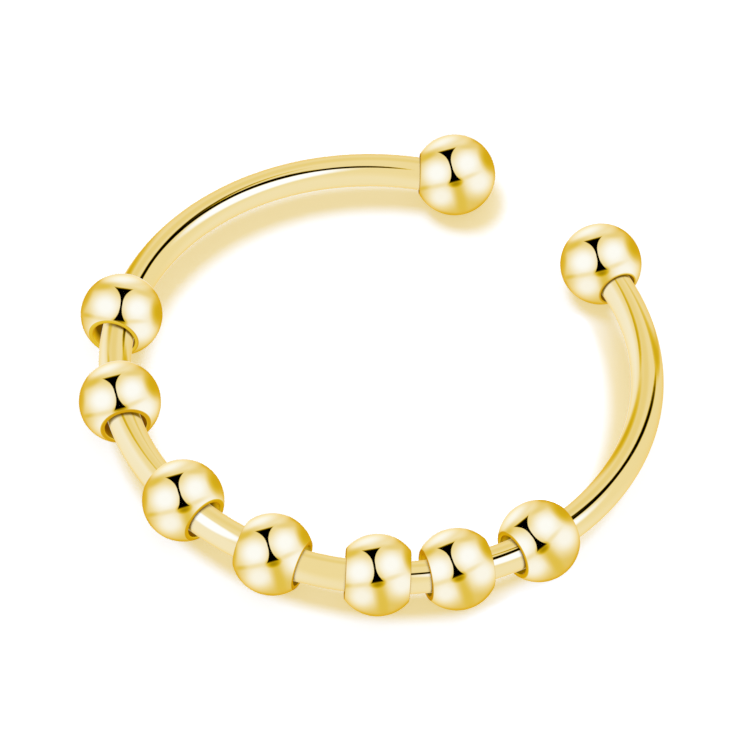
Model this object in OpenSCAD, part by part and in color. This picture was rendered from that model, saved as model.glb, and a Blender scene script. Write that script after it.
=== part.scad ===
// Open beaded ring: a round wire band with a ball soldered on each end, and seven loose drilled beads on it.
// The origin is the centre of the finger hole, in the plane of the wire. The finger goes in along Z.
// The open side faces +Y, and the beads lie along the front, at -Y.
// Sizes are in millimetres and angles in degrees.

/* [Band] */
// Radius of the circle that the wire's centre line follows
ring_r = 9.75; // [9.5:0.05:10.5]
// Diameter of the round wire
wire_d = 1.2; // [1.1:0.05:1.25]
// Angle between the two end balls, seen from the ring's centre
gap_angle = 39.8; // [36:0.2:60]
// How far the left end ball's centre sits outside the wire's centre line
left_ball_out = 0.28; // [0:0.01:0.35]
// How far the right end ball's centre sits outside the wire's centre line
right_ball_out = 0.07; // [0:0.01:0.35]

/* [Balls] */
// Diameter of every ball, fixed or loose
ball_d = 3; // [2.9:0.05:3.2]
// Diameter of the hole through a loose bead
bead_hole_d = 1.55; // [1.55:0.05:1.75]
// Outer diameter of the flat ring round each end of a bead's hole
bead_flat_d = 1.85; // [1.8:0.05:2.1]
// Diameter of the drilled mouth that an end ball has round the wire
mouth_d = 1.36; // [1.3:0.02:1.5]
// Depth of that mouth, where solder closes it
mouth_depth = 0.15; // [0.05:0.05:0.3]

/* [Bead places] */
// Turn of each loose bead from the middle of the front, positive towards the right
bead_turns = [-68.2, -43.5, -12.7, 11.5, 34.8, 52.2, 72]; // [-70:0.1:76]
// How far each loose bead has slipped outward across the wire
bead_slips = [0.06, -0.03, -0.11, -0.1, -0.13, -0.13, -0.1]; // [-0.13:0.01:0.06]

/* [Hidden] */
$fn = 96;
gold = [0.93, 0.77, 0.36];
ball_r = ball_d / 2;
// The middle of the open side is half a turn from the middle of the front
ball_turn = 180 - gap_angle / 2;
// Distance from a ball's centre to the plane where a hole of a given radius breaks its surface
function rim_distance(hole_r) = sqrt(ball_r * ball_r - hole_r * hole_r);
// Turn round the ring from a ball at a given radius to where the wire's centre line crosses its mouth
function entry_turn(radius, reach) =
    acos((ring_r * ring_r + radius * radius - reach * reach) / (2 * ring_r * radius));

// Turns what is drawn at the front of the ring to another place round it
module at_turn(turn) {
    rotate([0, 0, turn]) children();
}

// Round hole or rod along +X, from a given distance out
module rod(d, start, length) {
    translate([start, 0, 0]) rotate([0, 90, 0]) cylinder(d = d, h = length);
}

// The wire from the middle of one end ball to the middle of the other
module wire() {
    rotate([0, 0, -ball_turn - 90])
        rotate_extrude(angle = 2 * ball_turn)
            translate([ring_r, 0]) circle(d = wire_d);
}

// End ball at the front of the ring, whose drilled mouth faces the wire where it comes in from +X
module end_ball(out) {
    radius = ring_r + out;
    reach = rim_distance(mouth_d / 2);
    turn = entry_turn(radius, reach);
    mouth_tilt = atan2(radius - ring_r * cos(turn), ring_r * sin(turn));
    translate([0, -radius, 0])
        difference() {
            sphere(d = ball_d);
            rotate([0, 0, mouth_tilt]) rod(mouth_d, reach - mouth_depth, ball_d);
        }
}

module band() {
    color(gold) union() {
        wire();
        at_turn(-ball_turn) end_ball(left_ball_out);
        at_turn(ball_turn) mirror([1, 0, 0]) end_ball(right_ball_out);
    }
}

// What is cut away to leave the flat on a bead's +X side
module beyond_flat() {
    rod(ball_d, rim_distance(bead_flat_d / 2), ball_r);
}

module bead(index) {
    color(gold)
        at_turn(bead_turns[index])
            translate([0, -ring_r - bead_slips[index], 0])
                difference() {
                    sphere(d = ball_d);
                    rod(bead_hole_d, -ball_r, ball_d);
                    beyond_flat();
                    mirror([1, 0, 0]) beyond_flat();
                }
}

module bead_1() { bead(0); }
module bead_2() { bead(1); }
module bead_3() { bead(2); }
module bead_4() { bead(3); }
module bead_5() { bead(4); }
module bead_6() { bead(5); }
module bead_7() { bead(6); }

band();
bead_1();
bead_2();
bead_3();
bead_4();
bead_5();
bead_6();
bead_7();
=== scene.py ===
import bmesh
import bpy
import math
from mathutils import Matrix, Vector


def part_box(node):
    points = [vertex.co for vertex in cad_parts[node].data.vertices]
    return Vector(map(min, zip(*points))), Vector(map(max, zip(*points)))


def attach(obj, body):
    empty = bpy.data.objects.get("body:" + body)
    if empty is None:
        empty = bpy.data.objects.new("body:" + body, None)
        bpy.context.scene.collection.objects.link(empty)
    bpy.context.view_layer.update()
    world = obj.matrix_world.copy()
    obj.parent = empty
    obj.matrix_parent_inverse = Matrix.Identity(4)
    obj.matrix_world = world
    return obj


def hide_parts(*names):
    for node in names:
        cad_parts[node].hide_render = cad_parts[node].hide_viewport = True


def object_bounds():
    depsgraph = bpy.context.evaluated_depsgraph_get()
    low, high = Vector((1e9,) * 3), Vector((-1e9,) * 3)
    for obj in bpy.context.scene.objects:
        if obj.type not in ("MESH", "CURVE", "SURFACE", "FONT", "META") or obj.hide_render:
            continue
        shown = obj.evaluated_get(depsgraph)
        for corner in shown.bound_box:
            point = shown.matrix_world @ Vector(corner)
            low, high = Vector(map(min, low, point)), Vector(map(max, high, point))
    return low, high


# Open gold ring with seven loose beads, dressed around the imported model.
# The scene is in metres. Each piece is shaped in millimetres and scaled once, in addPiece.
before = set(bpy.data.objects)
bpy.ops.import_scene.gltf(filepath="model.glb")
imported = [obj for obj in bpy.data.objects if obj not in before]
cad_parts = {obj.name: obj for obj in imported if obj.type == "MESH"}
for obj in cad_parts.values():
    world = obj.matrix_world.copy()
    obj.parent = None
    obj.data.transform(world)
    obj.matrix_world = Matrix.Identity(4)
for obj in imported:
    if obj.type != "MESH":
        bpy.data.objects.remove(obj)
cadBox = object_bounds()
mm = 0.001
print("frame loaded:", ", ".join(sorted(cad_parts)))

# where the camera stands, to see the ring as the photo does
cameraSetup = {
    "turn": 32.13,        # degrees round the ring from straight in front of the beads
    "elevation": 49.77,   # degrees above the table
    "lean": 4.58,         # degrees the camera is tipped to its left
    "distance": 0.585,
    "clip": (0.01, 10),   # nearest and farthest that it sees
    "lens": 767.8,        # mm, on a 36 mm sensor
    "aimRight": -0.23,    # mm from the ring's centre to the middle of the picture
    "aimUp": -0.11,
}


def groundAxes():
    # level with the table, to the camera's right and away from the camera
    turn = math.radians(cameraSetup["turn"])
    return Vector((math.cos(turn), math.sin(turn), 0)), Vector((-math.sin(turn), math.cos(turn), 0))


def cameraAxes():
    # the camera's right, its up, and back towards it from the ring
    rise = math.radians(cameraSetup["elevation"])
    lean = math.radians(cameraSetup["lean"])
    level, away = groundAxes()
    back = Vector((0, 0, 1)) * math.sin(rise) - away * math.cos(rise)
    upright = back.cross(level)
    right = level * math.cos(lean) + upright * math.sin(lean)
    return right, back.cross(right), back


def addCamera():
    right, up, back = cameraAxes()
    aim = (right * cameraSetup["aimRight"] + up * cameraSetup["aimUp"]) * mm
    camera = bpy.data.objects.new("photoCamera", bpy.data.cameras.new("photoCamera"))
    camera.data.lens = cameraSetup["lens"]
    camera.data.clip_start, camera.data.clip_end = cameraSetup["clip"]
    axes = Matrix((right, up, back)).transposed()
    camera.matrix_world = Matrix.Translation(aim + back * cameraSetup["distance"]) @ axes.to_4x4()
    bpy.context.scene.collection.objects.link(camera)
    bpy.context.scene.camera = camera


addCamera()
bpy.context.scene.view_settings.view_transform = "Standard"
print("camera placed")


def feed(tree, value, socket):
    # a socket takes another node's output, a number, a vector or a colour of three parts
    if isinstance(value, bpy.types.NodeSocket):
        tree.links.new(value, socket)
    elif socket.type == "RGBA":
        socket.default_value = (*value, 1)
    else:
        socket.default_value = value


def calculate(tree, operation, *values):
    node = tree.nodes.new("ShaderNodeMath")
    node.operation = operation
    for value, socket in zip(values, node.inputs):
        feed(tree, value, socket)
    return node.outputs[0]


def calculateVector(tree, operation, *values):
    node = tree.nodes.new("ShaderNodeVectorMath")
    node.operation = operation
    for value, socket in zip(values, node.inputs):
        feed(tree, value, socket)
    return node.outputs["Value" if operation in ("DOT_PRODUCT", "LENGTH") else "Vector"]


def mixed(tree, kind, factor, first, second):
    # kind is FLOAT for numbers and RGBA for colours
    node = tree.nodes.new("ShaderNodeMix")
    node.data_type = kind
    for value, name in ((factor, "Factor"), (first, "A"), (second, "B")):
        feed(tree, value, node.inputs[name])
    return node.outputs["Result"]


def rescaled(tree, value, fromRange, toRange=(0, 1), smooth=False):
    node = tree.nodes.new("ShaderNodeMapRange")
    node.interpolation_type = "SMOOTHSTEP" if smooth else "LINEAR"
    for name, limit in zip(("From Min", "From Max", "To Min", "To Max"), (*fromRange, *toRange)):
        node.inputs[name].default_value = limit
    tree.links.new(value, node.inputs["Value"])
    return node.outputs["Result"]


def noise(tree, place, scale, detail):
    texture = tree.nodes.new("ShaderNodeTexNoise")
    texture.inputs["Scale"].default_value = scale
    texture.inputs["Detail"].default_value = detail
    tree.links.new(place, texture.inputs["Vector"])
    return texture.outputs["Fac"]


def attribute(tree, name):
    node = tree.nodes.new("ShaderNodeAttribute")
    node.attribute_name = name
    return node.outputs["Fac"]


def objectPlace(tree):
    return tree.nodes.new("ShaderNodeTexCoord").outputs["Object"]


# the metal of every piece. The scales count marks to a metre, and lengths are in metres
goldSetup = {
    "colour": (0.94, 0.78, 0.42),
    "paleColour": (0.95, 0.80, 0.45),   # of slightly paler patches in the plating
    "patchScale": 500,
    "patchDetail": 3,
    "edgeColour": (1.0, 0.82, 0.45),    # tint of the reflection at the very edge
    "roughness": (0.02, 0.05),
    "wearScale": 2500,
    "wearDetail": 4,
    "polishScale": 2500,                # of the fine polishing waves
    "polishDetail": 2,
    "polishDepth": 0.000001,
    "shadedRimColour": (0.82, 0.53, 0.035),   # rougher gold inside a hole, painted a deeper gold for its shaded reflections, with painted shade that darkens it inwards
    "deepShadeColour": (0.16, 0.09, 0.005),
    # in a hole the edge tint is a deeper gold too, part of the painted shaded gold
    "boreEdgeColour": (0.75, 0.5, 0.05),
    "boreRoughness": 0.3,
    "closeShadeColour": (0.2, 0.11, 0.01),   # painted shade where a hole's rim and the wire come close
    "closeDistance": 0.0003,
    "closeRange": (0.45, 0.65),         # open share of the view that gives closeShadeColour, and plain gold
    "closeSamples": 16,
}


def makeGold():
    material = bpy.data.materials.new("polishedGold")
    material.use_nodes = True
    tree = material.node_tree
    gold = tree.nodes["Principled BSDF"]
    gold.inputs["Metallic"].default_value = 1
    place = objectPlace(tree)
    drilled = attribute(tree, "drilled")
    # patches of plating outside, and in the holes a deeper gold with painted shade that darkens inwards
    patches = noise(tree, place, goldSetup["patchScale"], goldSetup["patchDetail"])
    outside = mixed(tree, "RGBA", patches, goldSetup["colour"], goldSetup["paleColour"])
    # painted shade: the hole's gold turns from a deeper gold to near black inwards
    inside = mixed(tree, "RGBA", attribute(tree, "holeShade"), goldSetup["shadedRimColour"], goldSetup["deepShadeColour"])
    colour = mixed(tree, "RGBA", drilled, outside, inside)
    # painted shade: the gold darkens where a hole's rim and the wire come close
    near = tree.nodes.new("ShaderNodeAmbientOcclusion")
    near.samples = goldSetup["closeSamples"]
    near.inputs["Distance"].default_value = goldSetup["closeDistance"]
    apart = rescaled(tree, near.outputs["AO"], goldSetup["closeRange"])
    shaded = mixed(tree, "RGBA", apart, goldSetup["closeShadeColour"], colour)
    tree.links.new(shaded, gold.inputs["Base Color"])
    edge = mixed(tree, "RGBA", drilled, goldSetup["edgeColour"], goldSetup["boreEdgeColour"])
    tree.links.new(edge, gold.inputs["Specular Tint"])
    wear = noise(tree, place, goldSetup["wearScale"], goldSetup["wearDetail"])
    polish = rescaled(tree, wear, (0, 1), goldSetup["roughness"])
    rough = mixed(tree, "FLOAT", drilled, polish, goldSetup["boreRoughness"])
    tree.links.new(rough, gold.inputs["Roughness"])
    # some beads' reflections are turned about the photo's line of sight, as in the photo
    surface = tree.nodes.new("ShaderNodeNewGeometry")
    turned = tree.nodes.new("ShaderNodeVectorRotate")
    turned.inputs["Axis"].default_value = cameraAxes()[2]
    tree.links.new(surface.outputs["Normal"], turned.inputs["Vector"])
    tree.links.new(attribute(tree, "turned"), turned.inputs["Angle"])
    waves = tree.nodes.new("ShaderNodeBump")
    waves.inputs["Strength"].default_value = 1
    waves.inputs["Distance"].default_value = goldSetup["polishDepth"]
    height = noise(tree, place, goldSetup["polishScale"], goldSetup["polishDetail"])
    tree.links.new(height, waves.inputs["Height"])
    tree.links.new(turned.outputs[0], waves.inputs["Normal"])
    tree.links.new(waves.outputs["Normal"], gold.inputs["Normal"])
    return material


goldMaterial = makeGold()
print("gold made")

# how every piece's mesh is finished
meshSetup = {
    "weldDistance": 0.0001,   # mm, within which points are joined
    "sharpAngle": 40,         # degrees, from which an edge shows as a crease
}


def addPiece(name, bm, body, node):
    bmesh.ops.remove_doubles(bm, verts=bm.verts, dist=meshSetup["weldDistance"])
    bmesh.ops.recalc_face_normals(bm, faces=bm.faces)
    for face in bm.faces:
        face.smooth = True
    for edge in bm.edges:
        edge.smooth = edge.calc_face_angle(0) < math.radians(meshSetup["sharpAngle"])
    bmesh.ops.scale(bm, vec=(mm, mm, mm), verts=bm.verts)
    mesh = bpy.data.meshes.new(name)
    bm.to_mesh(mesh)
    bm.free()
    mesh.materials.append(goldMaterial)
    piece = bpy.data.objects.new(name, mesh)
    bpy.context.scene.collection.objects.link(piece)
    # the pieces show only the studio, as in the photo, and the table's shadows keep their own colour
    piece.visible_glossy = False
    piece.visible_diffuse = False
    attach(piece, body)
    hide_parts(node)
    return piece


def placeRound(bm, out, turn):
    # from the ring's centre out to its front, and then round the ring
    bmesh.ops.translate(bm, vec=(0, -out, 0), verts=bm.verts)
    bmesh.ops.rotate(bm, cent=(0, 0, 0), matrix=Matrix.Rotation(turn, 3, "Z"), verts=bm.verts)


def arcFrom(bm, vertex, centre, angle, steps):
    # draws a round stretch of outline on from a vertex, in the plane of X and Z, and returns its end
    made = bmesh.ops.spin(bm, geom=[vertex], cent=centre, axis=(0, -1, 0), angle=angle, steps=steps)
    return next(item for item in made["geom_last"] if isinstance(item, bmesh.types.BMVert))


def turnOutline(bm, steps):
    # all the way round the X axis
    whole = {"angle": math.tau, "steps": steps, "use_merge": True}
    bmesh.ops.spin(bm, geom=bm.verts[:] + bm.edges[:], cent=(0, 0, 0), axis=(1, 0, 0), **whole)


def paintHole(bm, start, radius, rim, darkFrom, darkRun):
    # marks what lies inside a hole along X, where the gold is rougher and painted a deeper, shaded gold,
    # and how much painted shade it gets deeper in
    drilled = bm.verts.layers.float.new("drilled")
    holeShade = bm.verts.layers.float.new("holeShade")
    for vertex in bm.verts:
        inHole = math.hypot(vertex.co.y, vertex.co.z) < radius
        vertex[drilled] = inHole and vertex.co.x > start
        vertex[holeShade] = max(0, min(1, (rim - abs(vertex.co.x) - darkFrom) / darkRun))


wireSetup = {
    "ringRadius": 9.75,   # to the middle of the wire
    "wireRadius": 0.6,
    "gapAngle": 39.8,     # degrees between the two end balls
    "roundSteps": 64,
    "alongSteps": 420,
}
endTurn = math.radians(180 - wireSetup["gapAngle"] / 2)   # from the middle of the front to an end ball


def makeWire():
    bm = bmesh.new()
    across = Matrix.Rotation(math.radians(90), 4, "Y")
    roundness = {"segments": wireSetup["roundSteps"], "radius": wireSetup["wireRadius"]}
    bmesh.ops.create_circle(bm, matrix=across, **roundness)
    placeRound(bm, wireSetup["ringRadius"], -endTurn)
    sweep = {"angle": 2 * endTurn, "steps": wireSetup["alongSteps"]}
    bmesh.ops.spin(bm, geom=bm.verts[:] + bm.edges[:], cent=(0, 0, 0), axis=(0, 0, 1), **sweep)
    ends = [edge for edge in bm.edges if edge.is_boundary]
    bmesh.ops.holes_fill(bm, edges=ends)
    return addPiece("ringWire", bm, "band", "band")


wirePiece = makeWire()
print("wire made")

ballSetup = {
    "ballRadius": 1.5,
    "mouthRadius": 0.68,
    "mouthDepth": 0.15,
    "mouthFillet": 0.04,
    "dullAndShadedMargin": 0.06,   # how far round the mouth the gold is rougher and painted a deeper, shaded gold
    "leftOut": 0.28,      # how far the ball's middle sits outside the wire's circle
    "rightOut": 0.07,
    "filletSteps": 6,
    "arcSteps": 72,
    "roundSteps": 128,
}


def makeEndBall(name, side, outward):
    # side is -1 for the left ball and 1 for the right
    ballRadius = ballSetup["ballRadius"]
    mouthRadius = ballSetup["mouthRadius"]
    fillet = ballSetup["mouthFillet"]
    reach = math.sqrt(ballRadius ** 2 - mouthRadius ** 2)
    floor = reach - ballSetup["mouthDepth"]
    # middle of the round edge between the ball and its mouth: out from the mouth's axis, and along it
    out = mouthRadius + fillet
    along = math.sqrt((ballRadius - fillet) ** 2 - out ** 2)
    bm = bmesh.new()
    corner = bm.verts.new((floor, 0, mouthRadius))
    rim = bm.verts.new((along, 0, mouthRadius))
    bm.edges.new((bm.verts.new((floor, 0, 0)), corner))
    bm.edges.new((corner, rim))
    lean = math.atan2(out, along)
    rimEnd = arcFrom(bm, rim, (along, 0, out), math.radians(90) + lean, ballSetup["filletSteps"])
    arcFrom(bm, rimEnd, (0, 0, 0), math.pi - lean, ballSetup["arcSteps"])
    turnOutline(bm, ballSetup["roundSteps"])
    paintHole(bm, 0, mouthRadius + ballSetup["dullAndShadedMargin"], along, 0, ballSetup["mouthDepth"])
    # the mouth is turned to where the wire's middle line comes in
    ringRadius = wireSetup["ringRadius"]
    radius = ringRadius + outward
    entry = math.acos((ringRadius ** 2 + radius ** 2 - reach ** 2) / (2 * ringRadius * radius))
    tilt = math.atan2(radius - ringRadius * math.cos(entry), ringRadius * math.sin(entry))
    bmesh.ops.rotate(bm, cent=(0, 0, 0), matrix=Matrix.Rotation(tilt, 3, "Z"), verts=bm.verts)
    if side > 0:
        bmesh.ops.scale(bm, vec=(-1, 1, 1), verts=bm.verts)
    placeRound(bm, radius, side * endTurn)
    return addPiece(name, bm, "band", "band")


leftBall = makeEndBall("endBallLeft", -1, ballSetup["leftOut"])
rightBall = makeEndBall("endBallRight", 1, ballSetup["rightOut"])
print("end balls made")

beadSetup = {
    "boreRadius": 0.775,
    "boreCuts": 15,
    "flatRadius": 0.925,   # outside of the flat ring round the hole
    "rimRound": 0.03,      # how much the flat ring's edges are rounded off
    "rimSteps": 3,
    "cornerAngle": 30,     # degrees, from which an edge is rounded off
    "dullAndShadedMargin": 0.015,   # how far round the flat ring the gold is rougher and painted a deeper, shaded gold
    "darkFrom": 0.22,      # how far inside the rim the painted shade in the hole begins
    "darkRun": 0.15,
    "reflectionTurns": [-22, 1, 2, 1, -4, 7, 24],   # degrees, to the left, of each bead's reflection
    "arcSteps": 64,
    "roundSteps": 128,
}


def turnReflection(bm, turn):
    # the polished outside of a bead shows the studio turned by this angle
    turned = bm.verts.layers.float.new("turned")
    drilled = bm.verts.layers.float["drilled"]
    for vertex in bm.verts:
        vertex[turned] = turn * (vertex[drilled] - 1)


def makeBead(number):
    node = "bead_" + str(number)
    low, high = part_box(node)
    middle = (low + high) / 2 / mm
    ballRadius = ballSetup["ballRadius"]
    boreRadius = beadSetup["boreRadius"]
    flatRadius = beadSetup["flatRadius"]
    rim = math.sqrt(ballRadius ** 2 - flatRadius ** 2)
    bm = bmesh.new()
    inner = bm.verts.new((rim, 0, boreRadius))
    outer = bm.verts.new((rim, 0, flatRadius))
    bm.edges.new((inner, outer))
    lean = math.atan2(flatRadius, rim)
    farOuter = arcFrom(bm, outer, (0, 0, 0), math.pi - 2 * lean, beadSetup["arcSteps"])
    farInner = bm.verts.new((-rim, 0, boreRadius))
    bm.edges.new((farOuter, farInner))
    bore = bm.edges.new((farInner, inner))
    bmesh.ops.subdivide_edges(bm, edges=[bore], cuts=beadSetup["boreCuts"])
    turnOutline(bm, beadSetup["roundSteps"])
    bmesh.ops.remove_doubles(bm, verts=bm.verts, dist=meshSetup["weldDistance"])
    cornerAngle = math.radians(beadSetup["cornerAngle"])
    corners = [edge for edge in bm.edges if edge.calc_face_angle(0) > cornerAngle]
    rounding = {"offset": beadSetup["rimRound"], "segments": beadSetup["rimSteps"], "profile": 0.5}
    bmesh.ops.bevel(bm, geom=corners, affect="EDGES", material=-1, **rounding)
    dullAndShadedRadius = flatRadius + beadSetup["dullAndShadedMargin"]
    paintHole(bm, -ballRadius, dullAndShadedRadius, rim, beadSetup["darkFrom"], beadSetup["darkRun"])
    turnReflection(bm, math.radians(beadSetup["reflectionTurns"][number - 1]))
    placeRound(bm, math.hypot(middle.x, middle.y), math.atan2(middle.x, -middle.y))
    return addPiece("bead" + str(number), bm, node, node)


beadPieces = [makeBead(number + 1) for number in range(len(beadSetup["reflectionTurns"]))]
print("beads made")

# what the metal reflects: the studio round the ring, seen as it looks in a polished ball from the camera.
# Places and sizes are in ball radii, x to the right and y down, in a picture turned by "tip" degrees.
studioSetup = {
    "tip": 14.4,
    "ballBackTone": 0.66,    # behind all the marks, as the balls and as the wire show it
    "wireBackTone": 0.84,
    "waistCurve": 2.7,       # how suddenly a card narrows to its waist
    "footTaper": 0.15,       # how much a card narrows from its top to its middle, and again to its foot
    "ballDomeRadius": 1.0,
    "wireDomeRadius": 1.1,
    "domeSubdivisions": 5,
    "lightStrength": 2.4,
    "tones": [   # how bright a reflection is, and the colour it has on the gold
        {"tone": 0.00, "shown": (0, 0, 0)},
        {"tone": 0.30, "shown": (98, 74, 4)},
        {"tone": 0.60, "shown": (195, 156, 8)},
        {"tone": 0.68, "shown": (216, 177, 30)},
        {"tone": 0.75, "shown": (225, 192, 76)},
        {"tone": 0.86, "shown": (240, 220, 160)},
        {"tone": 1.00, "shown": (255, 255, 248)},
    ],
}

# two round lamps with a black card between them, over a pale table, as the balls and beads show them.
# A mark with a waist is a card that narrows half way down, to that share of its width.
ballMarks = [
    {"at": (0, 0), "size": (0.97, 0.97), "turn": 0, "soft": 0.05, "tone": 0.77, "cover": 1},
    {"at": (0, -0.98), "size": (0.8, 0.37), "turn": 0, "soft": 0.22, "tone": 0.87, "cover": 1},
    {"at": (-0.09, -0.88), "size": (0.38, 0.1), "turn": -7, "soft": 0.9, "tone": 0.98, "cover": 1},
    {"at": (-0.41, -0.15), "size": (0.37, 0.34), "turn": 0, "soft": 0.75, "tone": 0.98, "cover": 1},
    {"at": (0.37, -0.19), "size": (0.35, 0.35), "turn": 0, "soft": 0.75, "tone": 0.98, "cover": 1},
    {"at": (-0.46, 0.44), "size": (0.34, 0.27), "turn": 12, "soft": 0.75, "tone": 0.95, "cover": 1},
    {"at": (0.54, 0.33), "size": (0.36, 0.3), "turn": -10, "soft": 0.75, "tone": 0.96, "cover": 1},
    {"at": (-0.01, 0.55), "size": (0.12, 0.5), "turn": 0, "soft": 0.9, "tone": 0.73, "cover": 0.8},
    {"at": (-0.54, -0.61), "size": (0.3, 0.07), "turn": -14, "soft": 0.9, "tone": 0.73, "cover": 0.8},
    {"at": (-0.9, -0.32), "size": (0.08, 0.3), "turn": 16, "soft": 0.9, "tone": 0.69, "cover": 0.9},
    {"at": (0.48, -0.59), "size": (0.3, 0.05), "turn": 12, "soft": 0.9, "tone": 0.78, "cover": 0.6},
    {"at": (0.88, -0.2), "size": (0.14, 0.28), "turn": -8, "soft": 0.8, "tone": 0.66, "cover": 1},
    {"at": (-0.5, 0.16), "size": (0.45, 0.05), "turn": 4, "soft": 0.9, "tone": 0.84, "cover": 0.6},
    {"at": (-0.85, 0.12), "size": (0.14, 0.05), "turn": 5, "soft": 0.9, "tone": 0.73, "cover": 0.8},
    {"at": (0.3, 0.13), "size": (0.25, 0.05), "turn": -8, "soft": 0.9, "tone": 0.82, "cover": 0.5},
    {"at": (-0.03, 0.19), "size": (0.13, 0.08), "turn": 0, "soft": 0.9, "tone": 0.35, "cover": 0.9},
    {"at": (-0.035, -0.235), "size": (0.235, 0.41), "turn": 0, "soft": 0.25, "tone": 0.79, "cover": 0.9,
     "waist": 0.14},
    {"at": (-0.035, -0.235), "size": (0.21, 0.4), "turn": 0, "soft": 0.06, "tone": 0, "cover": 1,
     "waist": 0.14},
]

# the same studio as the thin wire shows it
wireMarks = [
    {"at": (-0.85, -0.35), "size": (0.55, 0.5), "turn": 0, "soft": 0.3, "tone": 0.91, "cover": 1},
    {"at": (0.2, 0.75), "size": (0.8, 0.5), "turn": 0, "soft": 0.4, "tone": 0.87, "cover": 1},
    {"at": (-0.6, 0.2), "size": (0.3, 0.5), "turn": 0, "soft": 0.5, "tone": 0.89, "cover": 1},
    {"at": (-0.32, -0.79), "size": (0.17, 0.075), "turn": 15, "soft": 0.9, "tone": 0.64, "cover": 1},
    {"at": (-0.11, -0.61), "size": (0.16, 0.03), "turn": 14, "soft": 0.6, "tone": 0.6, "cover": 1},
    {"at": (0.12, -0.68), "size": (0.22, 0.1), "turn": 0, "soft": 0.6, "tone": 0.8, "cover": 1},
    {"at": (0.72, -0.38), "size": (0.27, 0.035), "turn": 42, "soft": 0.8, "tone": 0.63, "cover": 0.9},
    {"at": (0.34, -0.04), "size": (0.2, 0.21), "turn": 0, "soft": 0.3, "tone": 1, "cover": 1},
    {"at": (-0.24, -0.29), "size": (0.26, 0.085), "turn": -45, "soft": 0.3, "tone": 1, "cover": 1},
    {"at": (0.45, -0.41), "size": (0.18, 0.052), "turn": 12, "soft": 0.4, "tone": 0, "cover": 1},
    {"at": (0.34, -0.3), "size": (0.15, 0.065), "turn": -40, "soft": 0.25, "tone": 0, "cover": 1},
    {"at": (0.185, -0.19), "size": (0.13, 0.05), "turn": -10, "soft": 0.3, "tone": 0, "cover": 1},
]


def toLinear(shown):
    # from a picture's 0 to 255 to linear light
    part = shown / 255
    return part / 12.92 if part <= 0.04045 else ((part + 0.055) / 1.055) ** 2.4


def reflectionPicture(tree):
    # place in a polished ball's picture where the light from this direction shows
    right, up, back = cameraAxes()
    tip = math.radians(studioSetup["tip"])
    pictureX = right * math.cos(tip) + up * math.sin(tip)
    pictureY = right * math.sin(tip) - up * math.cos(tip)
    outward = calculateVector(tree, "NORMALIZE", objectPlace(tree))
    facing = calculateVector(tree, "NORMALIZE", calculateVector(tree, "ADD", outward, back))
    picture = tree.nodes.new("ShaderNodeCombineXYZ")
    for axis, name in ((pictureX, "X"), (pictureY, "Y")):
        tree.links.new(calculateVector(tree, "DOT_PRODUCT", facing, axis), picture.inputs[name])
    return picture.outputs[0]


def cardDistance(tree, inMark, waist):
    # 1 at the edge of a card that is narrow half way down and tapers to its foot
    sides = tree.nodes.new("ShaderNodeSeparateXYZ")
    tree.links.new(inMark, sides.inputs[0])
    across = calculate(tree, "ABSOLUTE", sides.outputs["X"])
    down = calculate(tree, "ABSOLUTE", sides.outputs["Y"])
    curve = calculate(tree, "POWER", down, studioSetup["waistCurve"])
    flare = calculate(tree, "MULTIPLY_ADD", curve, 1 - waist, waist)
    taper = studioSetup["footTaper"]
    narrowing = calculate(tree, "MULTIPLY_ADD", sides.outputs["Y"], -taper, 1 - taper)
    width = calculate(tree, "MULTIPLY", flare, narrowing)
    return calculate(tree, "MAXIMUM", calculate(tree, "DIVIDE", across, width), down)


def paintMark(tree, picture, tone, mark):
    place = tree.nodes.new("ShaderNodeMapping")
    place.vector_type = "TEXTURE"
    place.inputs["Location"].default_value = (*mark["at"], 0)
    place.inputs["Rotation"].default_value = (0, 0, math.radians(mark["turn"]))
    place.inputs["Scale"].default_value = (*mark["size"], 1)
    tree.links.new(picture, place.inputs["Vector"])
    inMark = place.outputs[0]
    if "waist" in mark:
        distance = cardDistance(tree, inMark, mark["waist"])
    else:
        distance = calculateVector(tree, "LENGTH", inMark)
    fadeRange = (1 - mark["soft"], 1 + mark["soft"])
    share = rescaled(tree, distance, fadeRange, (mark["cover"], 0), smooth=True)
    return mixed(tree, "FLOAT", share, tone, mark["tone"])


def makeStudioLight(name, backTone, marks):
    # a glow that shines from the marks and lets other light through
    material = bpy.data.materials.new(name)
    material.use_nodes = True
    material.cycles.emission_sampling = "NONE"
    tree = material.node_tree
    tree.nodes.clear()
    picture = reflectionPicture(tree)
    tone = backTone
    for mark in marks:
        tone = paintMark(tree, picture, tone, mark)
    ramp = tree.nodes.new("ShaderNodeValToRGB")
    stops = ramp.color_ramp.elements
    while len(stops) < len(studioSetup["tones"]):
        stops.new(0.5)
    strength = studioSetup["lightStrength"]
    for stop, row in zip(stops, studioSetup["tones"]):
        shown = [toLinear(part) for part in row["shown"]]
        stop.position = row["tone"]
        stop.color = (*[part / gold / strength for part, gold in zip(shown, goldSetup["colour"])], 1)
    tree.links.new(tone, ramp.inputs["Fac"])
    glow = tree.nodes.new("ShaderNodeEmission")
    glow.inputs["Strength"].default_value = strength
    tree.links.new(ramp.outputs["Color"], glow.inputs["Color"])
    clear = tree.nodes.new("ShaderNodeBsdfTransparent")
    both = tree.nodes.new("ShaderNodeAddShader")
    tree.links.new(glow.outputs[0], both.inputs[0])
    tree.links.new(clear.outputs[0], both.inputs[1])
    output = tree.nodes.new("ShaderNodeOutputMaterial")
    tree.links.new(both.outputs[0], output.inputs["Surface"])
    return material


def makeGroup(name, members):
    group = bpy.data.collections.new(name)
    for member in members:
        group.objects.link(member)
    return group


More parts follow.
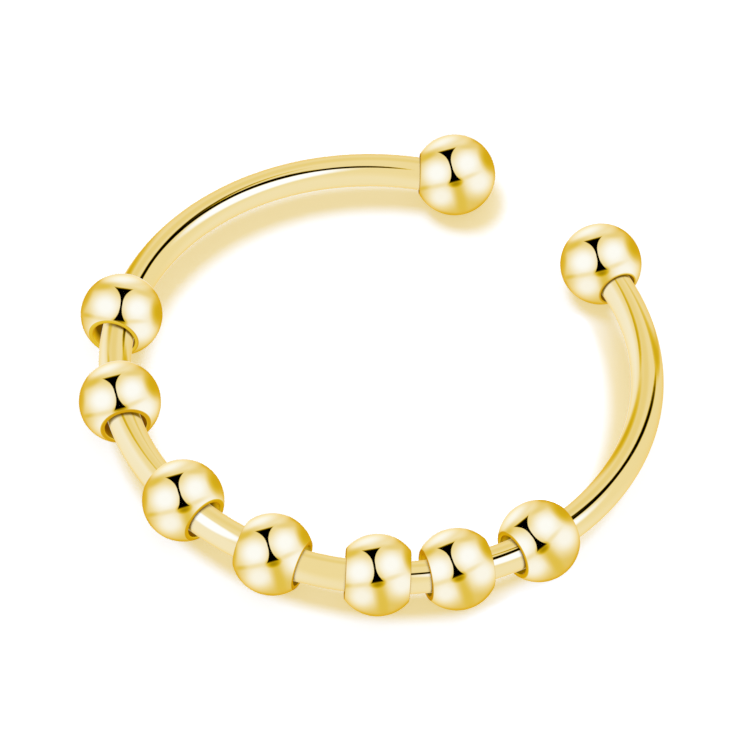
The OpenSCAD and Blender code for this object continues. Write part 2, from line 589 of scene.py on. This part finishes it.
def addStudio(name, radius, backTone, marks, seenBy):
    # a great lit dome that only the metal pieces in seenBy reflect
    bm = bmesh.new()
    bmesh.ops.create_icosphere(bm, subdivisions=studioSetup["domeSubdivisions"], radius=radius)
    mesh = bpy.data.meshes.new(name)
    bm.to_mesh(mesh)
    bm.free()
    mesh.materials.append(makeStudioLight(name, backTone, marks))
    dome = bpy.data.objects.new(name, mesh)
    bpy.context.scene.collection.objects.link(dome)
    dome.visible_camera = False
    dome.visible_diffuse = False
    dome.visible_transmission = False
    dome.visible_volume_scatter = False
    dome.visible_shadow = False
    dome.light_linking.receiver_collection = makeGroup(name, seenBy)


ballPieces = [leftBall, rightBall] + beadPieces
addStudio("ballStudio", studioSetup["ballDomeRadius"], studioSetup["ballBackTone"], ballMarks, ballPieces)
addStudio("wireStudio", studioSetup["wireDomeRadius"], studioSetup["wireBackTone"], wireMarks, [wirePiece])
print("studio made")

floorSetup = {
    "size": 3,
    "colour": 0.9,
    "shadeColour": (0.80, 0.64, 0.29),   # the table's painted golden glow round the ring, what is left of the light in its shadow
    "openColour": (0.95, 0.95, 0.95),
    "shadeReach": (0.06, 0.16),   # metres from the ring over which the painted glow fades to the open colour
}


def addFloor():
    bm = bmesh.new()
    bmesh.ops.create_grid(bm, x_segments=1, y_segments=1, size=floorSetup["size"] / 2)
    bmesh.ops.translate(bm, vec=(0, 0, cadBox[0].z), verts=bm.verts)
    mesh = bpy.data.meshes.new("table")
    bm.to_mesh(mesh)
    bm.free()
    material = bpy.data.materials.new("paleTable")
    material.use_nodes = True
    tree = material.node_tree
    surface = tree.nodes["Principled BSDF"]
    surface.inputs["Base Color"].default_value = (*[floorSetup["colour"]] * 3, 1)
    surface.inputs["Roughness"].default_value = 1
    surface.inputs["Specular IOR Level"].default_value = 0
    surface.inputs["Emission Strength"].default_value = 1
    # painted light: the table glows golden round the ring, which shows in the ring's shadows, and evenly
    # pale further out
    away = calculateVector(tree, "LENGTH", objectPlace(tree))
    fade = rescaled(tree, away, floorSetup["shadeReach"], smooth=True)
    glow = mixed(tree, "RGBA", fade, floorSetup["shadeColour"], floorSetup["openColour"])
    tree.links.new(glow, surface.inputs["Emission Color"])
    mesh.materials.append(material)
    floor = bpy.data.objects.new("table", mesh)
    bpy.context.scene.collection.objects.link(floor)
    floor.visible_glossy = False
    return floor


table = addFloor()
print("table made")

# black card that stands above the ring between the two key lamps, in metres from its centre and the table
cardSetup = {
    "right": 0.0066,
    "bottom": 0.004,
    "top": 0.07,
    "reach": 0.03,
}


def addCard():
    right, away = groundAxes()
    bm = bmesh.new()
    bmesh.ops.create_grid(bm, x_segments=1, y_segments=1, size=1)
    for vertex in bm.verts:
        height = cardSetup["top"] if vertex.co.x > 0 else cardSetup["bottom"]
        vertex.co = right * cardSetup["right"] + away * (vertex.co.y * cardSetup["reach"])
        vertex.co.z = cadBox[0].z + height
    mesh = bpy.data.meshes.new("flagCard")
    bm.to_mesh(mesh)
    bm.free()
    card = bpy.data.objects.new("flagCard", mesh)
    bpy.context.scene.collection.objects.link(card)
    card.visible_camera = False
    card.visible_diffuse = False
    card.visible_glossy = False
    card.visible_transmission = False
    return card


# disc lamps for the table: each adds its light to the shadow's colour. "tilt" is how far a lamp leans
# from straight above: to the camera's right, and away from the camera
lampSetup = {
    "leftKey": {"light": (0.16, 0.29, 0.59), "radius": 0.13, "distance": 0.6, "tilt": (-0.3, 0.02)},
    "rightKey": {"light": (0.16, 0.29, 0.59), "radius": 0.13, "distance": 0.6, "tilt": (0.52, 0.02)},
    "fill": {"light": (0.14, 0.17, 0.22), "radius": 0.6, "distance": 0.6, "tilt": (0, 0)},
}


def addLamp(name, blockers):
    # power that gives the wanted light on a matt table below the disc's middle
    setup = lampSetup[name]
    right, away = groundAxes()
    toLamp = right * setup["tilt"][0] + away * setup["tilt"][1] + Vector((0, 0, 1))
    toLamp.normalize()
    share = setup["radius"] ** 2 / (setup["radius"] ** 2 + setup["distance"] ** 2) * toLamp.z
    brightest = max(setup["light"])
    lamp = bpy.data.lights.new(name, "AREA")
    lamp.shape = "DISK"
    lamp.size = 2 * setup["radius"]
    lamp.energy = brightest / floorSetup["colour"] / share * (math.pi * setup["radius"]) ** 2
    lamp.color = [part / brightest for part in setup["light"]]
    disc = bpy.data.objects.new(name, lamp)
    disc.location = toLamp * setup["distance"]
    disc.rotation_euler = toLamp.to_track_quat("Z", "Y").to_euler()
    disc.visible_glossy = False
    disc.light_linking.receiver_collection = makeGroup(name + "Table", [table])
    disc.light_linking.blocker_collection = makeGroup(name + "Shade", blockers)
    bpy.context.scene.collection.objects.link(disc)


def addRoom():
    world = bpy.data.worlds.new("room")
    bpy.context.scene.world = world
    world.use_nodes = True
    room = world.node_tree.nodes["Background"]
    room.inputs["Color"].default_value = (1, 1, 1, 1)
    world.cycles_visibility.glossy = False
    world.cycles_visibility.diffuse = False


# the keys throw only the band's shadow, as in the photo, and the fill throws every piece's
bandPieces = [wirePiece, leftBall, rightBall]
keyBlockers = bandPieces + [addCard()]
addLamp("leftKey", keyBlockers)
addLamp("rightKey", keyBlockers)
addLamp("fill", bandPieces + beadPieces)
addRoom()
print("lights made")

print("CAD box", [round(v / mm, 3) for c in cadBox for v in c])
